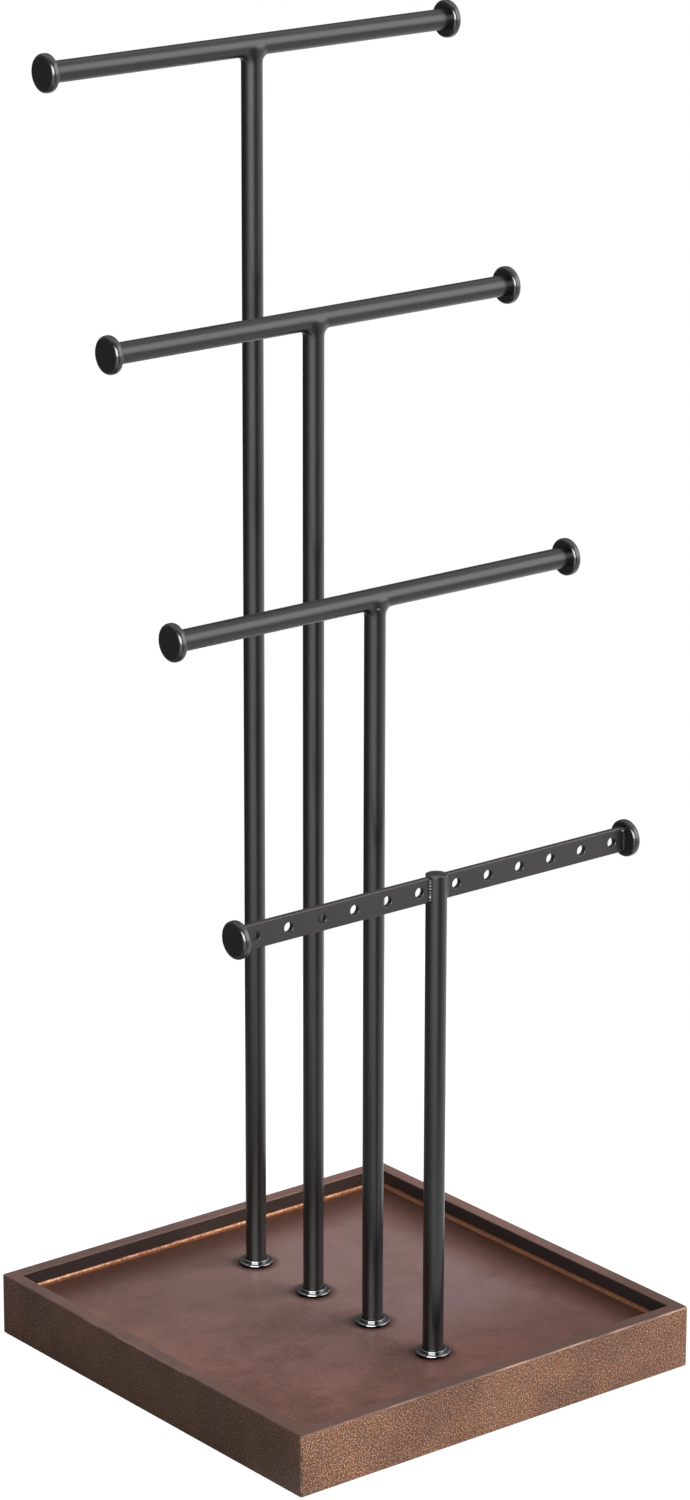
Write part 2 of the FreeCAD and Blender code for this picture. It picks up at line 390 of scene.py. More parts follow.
def makeFloorPaint(s):
    material, tree, shader = newMaterial("floorPaint", **{"Specular IOR Level": s["specular"]})
    speckle = useGroup(tree, speckleGroup, Grain=s["grain"], Patch=s["patch"])
    zones = useGroup(tree, zonesGroup, **traySizes)
    shade = blendColours(tree, speckle["Patches"], s["dark"], s["light"])
    shade = blendColours(tree, product(tree, speckle["Fleck"], s["fleckShare"]), shade, s["fleck"])
    # painted sheen: a grey-violet reflection painted into the colour, weaker in dark patches
    paintedSheen = product(tree, zones["PaintedSheen"],
                   remap(tree, speckle["Patches"], 0, 1, s["paintedSheenInDark"], 1), s["paintedSheenShare"])
    shade = blendColours(tree, paintedSheen, shade, s["paintedSheen"])
    # painted light over the rear half of the floor
    shade = blendColours(tree, product(tree, zones["PaintedLight"], s["paintedLightShare"]), shade, s["paintedLight"])
    # painted shade at the foot of the walls, and over the floor's -Y half
    shade = blendColours(tree, product(tree, zones["FootShade"], s["footShadeShare"]), shade, s["foot"])
    # painted shadow round the collars, in the same dark as the foot
    shade = blendColours(tree, product(tree, zones["CollarShadow"], s["collarShadowShare"]), shade, s["foot"])
    tree.links.new(shade, shader.inputs["Base Color"])
    tree.links.new(remap(tree, speckle["Patches"], 0, 1, *s["roughness"]),
                   shader.inputs["Roughness"])
    addBump(tree, shader, speckle["Height"], s["bump"], s["bumpDepth"])
    return material


copperSettings = {
    "dark": colour(0.13, 0.040, 0.012), "light": colour(0.92, 0.54, 0.36),
    "middle": colour(0.34, 0.155, 0.080),
    # painted shade on the bead along the walls that face away from the light
    "shadedCopper": colour(0.20, 0.080, 0.035), "shadedCopperShare": 0.6,
    # heights above the floor between which the crest comes in, and goes out
    "core": (0.6 * mm, 0.85 * mm, 1.05 * mm, 1.4 * mm),
    "fade": (-72 * mm, -20 * mm, 1, 0.4),     # the crest weakens along X
    "turn": (-4 * mm, 4 * mm),                # X less Y, from the lit sides to those in painted shade
    "patchShare": 0.65, "inDark": 0.35,
    "metallic": 0.75, "grain": 1500.0, "patch": 600.0, "bump": 0.5, "bumpDepth": 0.2 * mm,
    "roughness": (0.52, 0.35),                # in dark patches and in light ones
}


def makeCopper(s):
    material, tree, shader = newMaterial("wornCopper", Metallic=s["metallic"])
    speckle = useGroup(tree, speckleGroup, Grain=s["grain"], Patch=s["patch"])
    bright = maths(tree, "MAXIMUM", speckle["Fleck"],
                   product(tree, speckle["Patches"], s["patchShare"]))
    x, y, z = addNode(tree, "ShaderNodeSeparateXYZ", {0: objectCoordinates(tree)}).outputs
    # painted shade on the bead's shaded side
    side = remap(tree, maths(tree, "SUBTRACT", x, y), *s["turn"])
    inLow, inHigh, outLow, outHigh = (floorTop + height for height in s["core"])
    core = product(tree, remap(tree, z, inLow, inHigh), remap(tree, z, outHigh, outLow))
    fade = remap(tree, x, *s["fade"])
    below = remap(tree, z, outHigh, outLow)
    shade = blendColours(tree, product(tree, bright, below), s["dark"], s["middle"])
    crest = product(tree, remap(tree, bright, 0, 1, s["inDark"], 1), core, fade)
    shade = blendColours(tree, crest, shade, s["light"])
    shade = blendColours(tree, product(tree, side, s["shadedCopperShare"]), shade, s["shadedCopper"])
    tree.links.new(shade, shader.inputs["Base Color"])
    tree.links.new(remap(tree, speckle["Patches"], 0, 1, *s["roughness"]),
                   shader.inputs["Roughness"])
    addBump(tree, shader, speckle["Height"], s["bump"], s["bumpDepth"])
    return material


feltSettings = {
    "dark": colour(0.016, 0.012, 0.010), "light": colour(0.035, 0.028, 0.024),
    "grain": 4000.0, "patch": 500.0, "roughness": 0.95, "sheen": 0.4,
    "bump": 0.8, "bumpDepth": 0.4 * mm,
}


def makeFelt(s):
    material, tree, shader = newMaterial(
        "padFelt", **{"Roughness": s["roughness"], "Sheen Weight": s["sheen"]})
    speckle = useGroup(tree, speckleGroup, Grain=s["grain"], Patch=s["patch"])
    tree.links.new(blendColours(tree, speckle["Patches"], s["dark"], s["light"]),
                   shader.inputs["Base Color"])
    addBump(tree, shader, speckle["Height"], s["bump"], s["bumpDepth"])
    return material


metalBumpDepth = 0.1 * mm
metalSettings = {
    "rodLacquer": {"dark": colour(0.0075, 0.0070, 0.0070), "light": colour(0.012, 0.011, 0.011),
                   "metallic": 0.0, "specular": 0.5, "roughness": 0.27, "spread": 0.03,
                   "grain": 3500.0, "drift": 30.0, "bump": 0.08},
    "discLacquer": {"dark": colour(0.0165, 0.0132, 0.0146), "light": colour(0.022, 0.0182, 0.0196),
                    "metallic": 0.0, "specular": 0.7, "roughness": 0.16, "spread": 0.02,
                    "grain": 3500.0, "drift": 40.0, "bump": 0.03},
    "barLacquer": {"dark": colour(0.018, 0.0150, 0.0145), "light": colour(0.025, 0.0210, 0.0200),
                   "metallic": 0.0, "specular": 0.5, "roughness": 0.33, "spread": 0.04,
                   "grain": 3500.0, "drift": 30.0, "bump": 0.1},
    "blackChrome": {"dark": colour(0.16, 0.16, 0.163), "light": colour(0.21, 0.21, 0.214),
                    "metallic": 1.0, "specular": 0.5, "roughness": 0.08, "spread": 0.01,
                    "grain": 2500.0, "drift": 60.0, "bump": 0.0},
    "zincPlate": {"dark": colour(0.50, 0.51, 0.53), "light": colour(0.64, 0.64, 0.63),
                  "metallic": 1.0, "specular": 0.5, "roughness": 0.3, "spread": 0.05,
                  "grain": 2500.0, "drift": 60.0, "bump": 0.05},
}


def makeMetal(name, s):
    material, tree, shader = newMaterial(name, **{
        "Metallic": s["metallic"], "Specular IOR Level": s["specular"]})
    satin = useGroup(tree, satinGroup, Grain=s["grain"], Drift=s["drift"],
                     Roughness=s["roughness"], Spread=s["spread"])
    tree.links.new(blendColours(tree, satin["Shade"], s["dark"], s["light"]),
                   shader.inputs["Base Color"])
    tree.links.new(satin["Roughness"], shader.inputs["Roughness"])
    addBump(tree, shader, satin["Height"], s["bump"], metalBumpDepth)
    return material


def shadeFoot(material, shadeColour, low, high):
    # paints shade into the finish below a height, where a part meets the tray
    tree = material.node_tree
    base = tree.nodes["Principled BSDF"].inputs["Base Color"]
    height = addNode(tree, "ShaderNodeSeparateXYZ", {0: objectCoordinates(tree)}).outputs["Z"]
    tree.links.new(blendColours(tree, remap(tree, height, high, low), base.links[0].from_socket,
                                shadeColour), base)


railPaint = makeRailPaint(railPaintSettings)
floorPaint = makeFloorPaint(floorPaintSettings)
wornCopper = makeCopper(copperSettings)
padFelt = makeFelt(feltSettings)
metals = {name: makeMetal(name, values) for name, values in metalSettings.items()}
print("materials made:", len(bpy.data.materials))


def addPiece(name, bm, body, replaced, material, sharp=40.0):
    # edges that turn more than sharp, in degrees, stay crisp
    bmesh.ops.remove_doubles(bm, verts=bm.verts, dist=mergeGap)
    bmesh.ops.dissolve_degenerate(bm, dist=onPlane, edges=bm.edges)
    bmesh.ops.recalc_face_normals(bm, faces=bm.faces)
    mesh = bpy.data.meshes.new(name)
    bm.to_mesh(mesh)
    bm.free()
    mesh.shade_smooth()
    mesh.set_sharp_from_angle(angle=math.radians(sharp))
    mesh.materials.append(material)
    piece = bpy.data.objects.new(name, mesh)
    scene.collection.objects.link(piece)
    weighted = piece.modifiers.new("evenShading", "WEIGHTED_NORMAL")
    weighted.keep_sharp = True
    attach(piece, body)
    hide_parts(*replaced)


def rounded(bm, edges, offset, steps):
    bmesh.ops.bevel(bm, geom=list(edges), offset=offset, offset_type="OFFSET", affect="EDGES",
                    segments=steps, profile=0.5, material=-1, clamp_overlap=True)


def sliceAt(bm, point, normal, dropOuter=False):
    bmesh.ops.bisect_plane(bm, geom=bm.verts[:] + bm.edges[:] + bm.faces[:], dist=cutGap,
                           plane_co=point, plane_no=normal, clear_outer=dropOuter)


def addBlock(bm, half, low, high):
    # a square block round the Z axis
    place = Matrix.Translation((0, 0, (low + high) / 2))
    size = Matrix.Diagonal((2 * half, 2 * half, high - low, 1))
    bmesh.ops.create_cube(bm, size=1, matrix=place @ size)


def addRod(bm, radius, length, steps, place):
    bmesh.ops.create_cone(bm, cap_ends=True, segments=steps, radius1=radius, radius2=radius,
                          depth=length, matrix=place)


def laidDown(axis, place):
    # a quarter turn about an axis, then a move
    return Matrix.Translation(place) @ Matrix.Rotation(math.radians(90), 4, axis)


def boundary(bm):
    return [edge for edge in bm.edges if edge.is_boundary]


def edgesWhere(bm, test):
    return [edge for edge in bm.edges if all(test(vert.co) for vert in edge.verts)]


def lathe(bm, outline, steps):
    # spins an outline of (radius, z) points about Z
    verts = [bm.verts.new((radius, 0, z)) for radius, z in outline]
    edges = [bm.edges.new(pair) for pair in zip(verts, verts[1:])]
    bmesh.ops.spin(bm, geom=verts + edges, cent=(0, 0, 0), axis=(0, 0, 1), dvec=(0, 0, 0),
                   angle=math.tau, steps=steps, use_merge=True, use_duplicate=False)
    bmesh.ops.remove_doubles(bm, verts=bm.verts, dist=cutGap)


def addCopies(bm, part, places):
    # empties a part into bm, once for each place
    mesh = bpy.data.meshes.new("partOnce")
    part.to_mesh(mesh)
    part.free()
    for place in places:
        before = set(bm.verts)
        bm.from_mesh(mesh)
        bmesh.ops.transform(bm, matrix=place, verts=[v for v in bm.verts if v not in before])
    bpy.data.meshes.remove(mesh)


railSettings = {
    # offset and steps of each rounded edge
    "corner": (1.0 * mm, 6),   # upright outer corners
    "outerArris": (0.6 * mm, 4),
    "innerArris": (0.3 * mm, 3),
    "footChamfer": (0.4 * mm, 1),
    "turns": {"front": 0, "right": 90, "back": 180, "left": 270},
}


def buildRails(s):
    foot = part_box("rail_front")[0].z
    bm = bmesh.new()
    addBlock(bm, trayHalf, foot, rimTop)
    upright = [e for e in bm.edges if abs(e.verts[0].co.z - e.verts[1].co.z) > mm]
    rounded(bm, upright, *s["corner"])
    rounded(bm, edgesWhere(bm, lambda co: co.z > rimTop - onPlane), *s["outerArris"])
    rounded(bm, edgesWhere(bm, lambda co: co.z < foot + onPlane), *s["footChamfer"])
    for axis in ((1, 0, 0), (-1, 0, 0), (0, 1, 0), (0, -1, 0)):
        sliceAt(bm, Vector(axis) * trayInner, axis)
    middle = [f for f in bm.faces
              if max(abs(v) for v in f.calc_center_median().xy) < trayInner - mm]
    bmesh.ops.delete(bm, geom=middle, context="FACES")
    bmesh.ops.bridge_loops(bm, edges=boundary(bm))
    innerEdges = [e for e in edgesWhere(bm, lambda co: co.z > rimTop - onPlane)
                  if len(e.link_faces) == 2 and e.calc_face_angle() > arrisAngle]
    rounded(bm, innerEdges, *s["innerArris"])
    bmesh.ops.recalc_face_normals(bm, faces=bm.faces)
    for name, turn in s["turns"].items():
        part = bm.copy()
        for side in (1, -1):
            mitre = Matrix.Rotation(math.radians(turn), 3, "Z") @ Vector((side, 1, 0)).normalized()
            sliceAt(part, (0, 0, 0), mitre, True)
        bmesh.ops.holes_fill(part, edges=boundary(part), sides=0)
        addPiece(name + "Rail", part, "base", ["rail_" + name], railPaint)
    bm.free()


buildRails(railSettings)


beadSettings = {
    "radius": 1.2 * mm,
    "feather": 0.15 * mm,
    "arcSteps": 7,
    "cuts": 150,
    "lump": 0.13 * mm,
    "coarse": 420,             # lumps to the metre
    "fine": 1300,
    "fineShare": 0.5,
    "clear": 1e-5,             # the lumps stay this far above the underside
    "sharp": 60,
}


def buildBead(s):
    low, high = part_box("seam_bead")
    bm = bmesh.new()
    addBlock(bm, trayInner, low.z, high.z)
    top = [f for f in bm.faces if f.normal.z > 0.5]
    bottom = [f for f in bm.faces if f.normal.z < -0.5]
    steps = [(s["feather"], 0.0)]
    for k in range(s["arcSteps"]):
        a, b = (math.radians(90 * j / s["arcSteps"]) for j in (k, k + 1))
        steps.append((s["radius"] * (math.cos(a) - math.cos(b)),
                      -s["radius"] * (math.sin(b) - math.sin(a))))
    for thickness, depth in steps:
        bmesh.ops.inset_region(bm, faces=top, thickness=thickness, depth=depth,
                               use_even_offset=True, use_boundary=True)
    bmesh.ops.inset_region(bm, faces=bottom, thickness=s["radius"] + s["feather"], depth=0,
                           use_even_offset=True, use_boundary=True)
    bmesh.ops.delete(bm, geom=top + bottom, context="FACES")
    bmesh.ops.bridge_loops(bm, edges=boundary(bm))
    sides = [e for e in bm.edges if e.calc_length() > trayInner]
    bmesh.ops.subdivide_edges(bm, edges=sides, cuts=s["cuts"], use_grid_fill=True)
    for vert in bm.verts:
        inward = trayInner - max(abs(vert.co.x), abs(vert.co.y))
        if inward > onPlane and vert.co.z > low.z + onPlane:
            wave = (noise.noise(vert.co * s["coarse"])
                    + s["fineShare"] * noise.noise(vert.co * s["fine"]))
            rise = min(inward, s["feather"]) / s["feather"] * s["lump"] * wave
            vert.co.z += max(rise, low.z - vert.co.z + s["clear"])
    addPiece("seamBead", bm, "base", ["seam_bead"], wornCopper, s["sharp"])


buildBead(beadSettings)


padSettings = {
    "soft": (0.35 * mm, 3),    # offset and steps of the lower edges
    "longEdge": 5 * mm,        # edges longer than this are cut up
    "cuts": 10,
    "fuzz": 0.06 * mm,
    "grain": 900,
    "seed": 7,                 # gives the same fuzz each run
    "clear": 1e-5,             # the edges this near to the top and bottom stay straight
    "sharp": 60,
}


def buildPads(s):
    low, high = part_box("felt_pads")
    corner = [v.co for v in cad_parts["felt_pads"].data.vertices if min(v.co.x, v.co.y) > 0]
    near = Vector((min(c.x for c in corner), min(c.y for c in corner), low.z))
    centre = (near + high) / 2
    bm = bmesh.new()
    for x, y in ((1, 1), (1, -1), (-1, 1), (-1, -1)):
        place = Matrix.Translation((x * centre.x, y * centre.y, centre.z))
        bmesh.ops.create_cube(bm, size=1, matrix=place @ Matrix.Diagonal((*(high - near), 1)))
    rounded(bm, edgesWhere(bm, lambda co: co.z < low.z + onPlane), *s["soft"])
    sides = [e for e in bm.edges if e.calc_length() > s["longEdge"]]
    bmesh.ops.subdivide_edges(bm, edges=sides, cuts=s["cuts"], use_grid_fill=True)
    noise.seed_set(s["seed"])
    for vert in bm.verts:
        if low.z + s["clear"] < vert.co.z < high.z - s["clear"]:
            wobble = noise.noise_vector(vert.co * s["grain"]) * s["fuzz"]
            vert.co.x += wobble.x
            vert.co.y += wobble.y
    addPiece("feltPads", bm, "base", ["felt_pads"], padFelt, s["sharp"])


buildPads(padSettings)
print("tray done")


collarSettings = {
    "flange": 1.2 * mm,        # above the tray floor
    "wall": 0.85 * mm,         # of the ring
    "fit": 0.05 * mm,          # between post and bore
    "ringRound": (0.3 * mm, 5),
    "flangeRound": (0.56 * mm, 7),
    "shadeColour": colour(0.008, 0.007, 0.007),
    "shadeLow": 0.65 * mm,     # above the tray floor: painted shade up to here, clear from shadeHigh
    "shadeHigh": 0.9 * mm,
    "steps": 128,
}


def buildCollars(s):
    low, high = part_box("post_collars")
    bore = rodRadius + s["fit"]
    ringRadius = bore + s["wall"]
    step = floorTop + s["flange"]
    one = bmesh.new()
    lathe(one, [(bore, low.z), (bore, high.z), (ringRadius, high.z), (ringRadius, step),
                (high.x, step), (high.x, floorTop), (ringRadius, floorTop),
                (ringRadius, low.z), (bore, low.z)], s["steps"])
    level = [e for e in one.edges if abs(e.verts[0].co.z - e.verts[1].co.z) < cutGap
             and abs(e.verts[0].co.xy.length - e.verts[1].co.xy.length) < cutGap]
    rim = [e for e in level if e.verts[0].co.xy.length > high.x - onPlane]
    top = [e for e in level if e.verts[0].co.z > high.z - onPlane]
    rounded(one, rim, *s["flangeRound"])
    rounded(one, top, *s["ringRound"])
    bm = bmesh.new()
    places = [Matrix.Translation((0, middleOf("tier_%d_post" % tier).y, 0)) for tier in tiers]
    addCopies(bm, one, places)
    shadeFoot(metals["blackChrome"], s["shadeColour"],
              floorTop + s["shadeLow"], floorTop + s["shadeHigh"])
    addPiece("postCollars", bm, "base", ["post_collars"], metals["blackChrome"])


buildCollars(collarSettings)


postSettings = {
    "reach": (2.7 * mm, 1.5 * mm),   # how far the weld spreads in the crotch and at the front
    "fade": 1.6 * mm,                # and how far above the bar's axis it dies out
    "wrap": 112,                     # degrees of the bar's girth it covers on each side
    "weldRings": 18,
    "copeRings": 4,
    "plain": 2 * mm,                 # plain rings this far above the foot and below the weld
    "heart": 1 * mm,                 # rings inside the bar close this far below its axis
    "uneven": 0.16 * mm,
    "unevenGrain": 240,
    "steps": 96,
    "probe": 1e-6,                   # step for the slope of the joint's distance, in metres
    "settle": 6,                     # times a point is moved onto the joint's surface
    "spatter": {3: (-109.5, 0.40, 0.8 * mm, 0.35 * mm)},  # tier: angle, share, drop radius, sunk
    "dropSteps": (24, 16),
}


def jointDistance(point, s):
    # post and bar run into each other with a soft weld
    crotch, front = s["reach"]
    post = (math.hypot(point.x, point.y) if point.z < 0 else point.length) - rodRadius
    bar = math.hypot(point.y, point.z) - rodRadius
    if point.z < 0:
        reach = front + (crotch - front) * min(1, -point.z / rodRadius)
    else:
        reach = front * max(0, 1 - point.z / s["fade"])
    near = max(0, 1 - abs(post - bar) / reach) if reach > 0 else 0
    lump = s["uneven"] * noise.noise(point * s["unevenGrain"])
    return min(post, bar) - near * near * (reach / 4 + lump)


def weldPoint(angle, share, s):
    # from the post (share 0) round the corner to the bar (share 1), settled on the weld
    c, d = math.cos(angle), math.sin(angle)
    girth = math.radians(s["wrap"]) * d
    reach = rodRadius + s["reach"][0]
    foot = Vector((rodRadius * c, rodRadius * d, -reach))
    corner = Vector((rodRadius * c, rodRadius * d, -rodRadius * abs(c)))
    top = Vector((reach * c, rodRadius * math.sin(girth), -rodRadius * math.cos(girth)))
    point = foot * (1 - share) ** 2 + corner * 2 * share * (1 - share) + top * share ** 2
    for k in range(s["settle"]):
        off = jointDistance(point, s)
        slope = Vector([(jointDistance(point + Vector(way) * s["probe"], s) - off) / s["probe"]
                        for way in ((1, 0, 0), (0, 1, 0), (0, 0, 1))])
        point = point - slope * off / slope.length_squared
    return point


def growRing(bm, edges, turn, place):
    # the layer turn keeps each vertex's angle round the post
    grown = bmesh.ops.extrude_edge_only(bm, edges=edges)["geom"]
    for item in grown:
        if isinstance(item, bmesh.types.BMVert):
            item.co = place(item[turn])
    return [item for item in grown if isinstance(item, bmesh.types.BMEdge) and item.is_boundary]


def buildPost(tier, s):
    name = "tier_%d_post" % tier
    bar = middleOf("tier_%d_cross_bar" % tier)
    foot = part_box(name)[0].z - bar.z
    bm = bmesh.new()
    bmesh.ops.create_circle(bm, cap_ends=True, segments=s["steps"], radius=rodRadius,
                            matrix=Matrix.Translation((0, 0, foot)))
    turn = bm.verts.layers.float.new("turn")
    for vert in bm.verts:
        vert[turn] = math.atan2(vert.co.y, vert.co.x)
    edges = boundary(bm)
    for z in (foot + s["plain"], -(rodRadius + s["reach"][0]) - s["plain"]):
        edges = growRing(bm, edges, turn, lambda a: Vector((rodRadius * math.cos(a),
                                                            rodRadius * math.sin(a), z)))
    for k in range(s["weldRings"] + 1):
        edges = growRing(bm, edges, turn, lambda a: weldPoint(a, k / s["weldRings"], s))
    heart = Vector((0, 0, -s["heart"]))
    for k in range(1, s["copeRings"] + 1):
        keep = 1 - k / s["copeRings"]
        edges = growRing(bm, edges, turn,
                         lambda a: heart + (weldPoint(a, 1, s) - heart) * keep)
    if tier in s["spatter"]:
        angle, share, radius, sunk = s["spatter"][tier]
        angle = math.radians(angle)
        inward = Vector((math.cos(angle), math.sin(angle), 0)) * sunk
        place = Matrix.Translation(weldPoint(angle, share, s) - inward)
        around, upward = s["dropSteps"]
        bmesh.ops.create_uvsphere(bm, u_segments=around, v_segments=upward, radius=radius,
                                  matrix=place)
    bmesh.ops.translate(bm, verts=bm.verts, vec=(0, bar.y, bar.z))
    addPiece("tier%dPost" % tier, bm, "tier_%d" % tier, [name], metals["rodLacquer"])


def buildBar(tier, s):
    name = "tier_%d_cross_bar" % tier
    low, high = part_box(name)
    bm = bmesh.new()
    addRod(bm, rodRadius, high.x - low.x, s["steps"], laidDown("Y", middleOf(name)))
    addPiece("tier%dCrossBar" % tier, bm, "tier_%d" % tier, [name],
             metals["rodLacquer"])


for tier in roundTiers:
    buildPost(tier, postSettings)
    buildBar(tier, postSettings)


discSettings = {
    "thickness": 3.0 * mm,
    "outerRound": (1.2 * mm, 8),
    "innerRound": (1.0 * mm, 5),
    "steps": 96,
}


def buildDiscs(tier, s):
    name = "tier_%d_end_discs" % tier
    low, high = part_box(name)
    centre = (low + high) / 2
    place = laidDown("Y", (high.x - s["thickness"] / 2, centre.y, centre.z))
    inner = high.x - s["thickness"]
    one = bmesh.new()
    addRod(one, (high.z - low.z) / 2, s["thickness"], s["steps"], place)
    rounded(one, edgesWhere(one, lambda co: co.x > high.x - onPlane), *s["outerRound"])
    rounded(one, edgesWhere(one, lambda co: co.x < inner + onPlane), *s["innerRound"])
    bm = bmesh.new()
    addCopies(bm, one, [Matrix(), Matrix.Diagonal((-1, 1, 1, 1))])
    addPiece("tier%dEndDiscs" % tier, bm, "tier_%d" % tier, [name],
             metals["discLacquer"])


for tier in tiers:
    buildDiscs(tier, discSettings)
print("posts, bars and discs done")


shortPostSettings = {"fit": 0.05 * mm, "steps": 96}


def buildShortPost(s):
    # the slot for the flat bar is open at the top of the post
    low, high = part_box("tier_4_post")
    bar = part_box("tier_4_earring_bar")
    centre = (low + high) / 2
    half = (bar[1].y - bar[0].y) / 2 + s["fit"]
    slotFoot = bar[0].z - s["fit"]
    bm = bmesh.new()
    addRod(bm, rodRadius, high.z - low.z, s["steps"], Matrix.Translation((0, 0, centre.z)))
    for place, axis in (((0, half, 0), (0, 1, 0)), ((0, -half, 0), (0, 1, 0)),
                        ((0, 0, slotFoot), (0, 0, 1))):
        sliceAt(bm, place, axis)
    slotFaces = [f for f in bm.faces if abs(f.calc_center_median().y) < half
                 and f.calc_center_median().z > slotFoot]
    bmesh.ops.delete(bm, geom=slotFaces, context="FACES")
    rim = boundary(bm)
    ends = [v for v in dict.fromkeys(v for e in rim for v in e.verts)
            if abs(v.co.z - slotFoot) < onPlane and abs(abs(v.co.y) - half) < onPlane]
    for side in (1, -1):
        floorLine = bm.edges.new([v for v in ends if v.co.y * side > 0])
        wall = [e for e in rim if all(abs(v.co.y - side * half) < onPlane for v in e.verts)]
        bmesh.ops.contextual_create(bm, geom=wall + [floorLine])
    bmesh.ops.contextual_create(bm, geom=boundary(bm))
    bmesh.ops.translate(bm, verts=bm.verts, vec=(centre.x, centre.y, 0))
    addPiece("tier4Post", bm, "tier_4", ["tier_4_post"], metals["rodLacquer"])


buildShortPost(shortPostSettings)


earringBarSettings = {
    "holeRadius": 1.73 * mm,
    "holes": 6,                # on each side of the post
    "first": 7.7 * mm,         # nearest hole to the post's axis
    "last": 5.3 * mm,          # furthest hole to the end of the bar
    "holeSteps": 48,
    "rimRound": (0.25 * mm, 3),
    "edgeRound": (0.45 * mm, 3),
    "least": 1e-9,             # keeps divisions clear of zero
}


def addCell(bm, hole, left, right, low, high, s):
    # a round hole in an oblong cell of the bar's front face
    circle = bmesh.ops.create_circle(bm, segments=s["holeSteps"], radius=s["holeRadius"],
                                     matrix=laidDown("X", hole))["verts"]
    edges = list(dict.fromkeys(edge for vert in circle for edge in vert.link_edges))
    grown = bmesh.ops.extrude_edge_only(bm, edges=edges)["geom"]
    outer = [item for item in grown if isinstance(item, bmesh.types.BMVert)]
    for vert in outer:
        way = vert.co - hole
        reachX = (right - hole.x if way.x > 0 else hole.x - left) / max(abs(way.x), s["least"])
        reachZ = (high - hole.z if way.z > 0 else hole.z - low) / max(abs(way.z), s["least"])
        vert.co = hole + way * min(reachX, reachZ)
    for x in (left, right):
        for z in (low, high):
            corner = Vector((x, hole.y, z))
            min(outer, key=lambda v: (v.co - corner).length).co = corner


def buildEarringBar(s):
    low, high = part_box("tier_4_earring_bar")
    middle = (low.z + high.z) / 2
    pitch = (high.x - s["last"] - s["first"]) / (s["holes"] - 1)
    bm = bmesh.new()
    for k in range(s["holes"]):
        x = s["first"] + k * pitch
        left = 0 if k == 0 else x - pitch / 2
        right = high.x if k == s["holes"] - 1 else x + pitch / 2
        addCell(bm, Vector((x, low.y, middle)), left, right, low.z, high.z, s)
        addCell(bm, Vector((-x, low.y, middle)), -right, -left, low.z, high.z, s)
    bmesh.ops.remove_doubles(bm, verts=bm.verts, dist=mergeGap)
    grown = bmesh.ops.extrude_face_region(bm, geom=bm.faces[:])["geom"]
    bmesh.ops.translate(bm, verts=[v for v in grown if isinstance(v, bmesh.types.BMVert)],
                        vec=(0, high.y - low.y, 0))
    bmesh.ops.recalc_face_normals(bm, faces=bm.faces)

    def inside(vert):
        return min(vert.co.z - low.z, high.z - vert.co.z)

    arrises = [e for e in bm.edges if e.calc_face_angle() > arrisAngle
               and abs(e.verts[0].co.y - e.verts[1].co.y) < cutGap]
    longEdges = [e for e in arrises if all(inside(v) < onPlane for v in e.verts)
                 and abs(e.verts[0].co.z - e.verts[1].co.z) < onPlane]
    holeRims = [e for e in arrises if all(inside(v) > mm for v in e.verts)
                and all(abs(abs(v.co.x) - high.x) > onPlane for v in e.verts)]
    rounded(bm, longEdges, *s["edgeRound"])
    rounded(bm, [e for e in holeRims if e.is_valid], *s["rimRound"])
    addPiece("earringBar", bm, "tier_4", ["tier_4_earring_bar"],
             metals["barLacquer"])


buildEarringBar(earringBarSettings)


weldSettings = {
    "postBead": (0.8 * mm, 0.35),   # radius, share of it taken up by the ripples
    "discBead": (0.35 * mm, 0.1),
    "drop": (0.85 * mm, 0.6 * mm, 1.1 * mm),   # radius, off the right disc, below the bar's top
    "dropSteps": 3,
    "ripples": 8,
    "rippleRings": 6,          # rings to a ripple
    "wander": (0.3, 5),        # how far the ripples drift, and how often
    "taper": (6, 0.4),         # how fast the ends widen, and from which share of the radius
    "endIn": 0.3 * mm,         # beads stop this far inside the bar's top and bottom
    "capFoot": (0.15 * mm, 0.2 * mm),   # in from the post's side, below its top
    "capRim": 0.3 * mm,        # height of the cap's lip
    "capRise": 0.6 * mm,       # height of its dome above the lip
    "capLip": 0.12 * mm,       # how far the lip stands out from the post
    "lipAngles": range(-90, 61, 25),    # degrees, from the lip's underside upwards
    "domeSteps": 10,
    "steps": 96,
    "beadSteps": 20,
}


def beadOutline(height, radius, rippleShare, s, seed):
    outline = [(0, 0)]
    count = s["ripples"] * s["rippleRings"]
    drift, rate = s["wander"]
    widen, start = s["taper"]
    for k in range(count + 1):
        along = k / count
        phase = along * s["ripples"] + drift * noise.noise((along * rate, seed, 0))
        wave = abs(math.sin(math.pi * phase))
        taper = min(1, widen * along + start, widen * (1 - along) + start)
        outline.append((radius * taper * (1 - rippleShare + rippleShare * wave), height * along))
    return outline + [(0, height)]


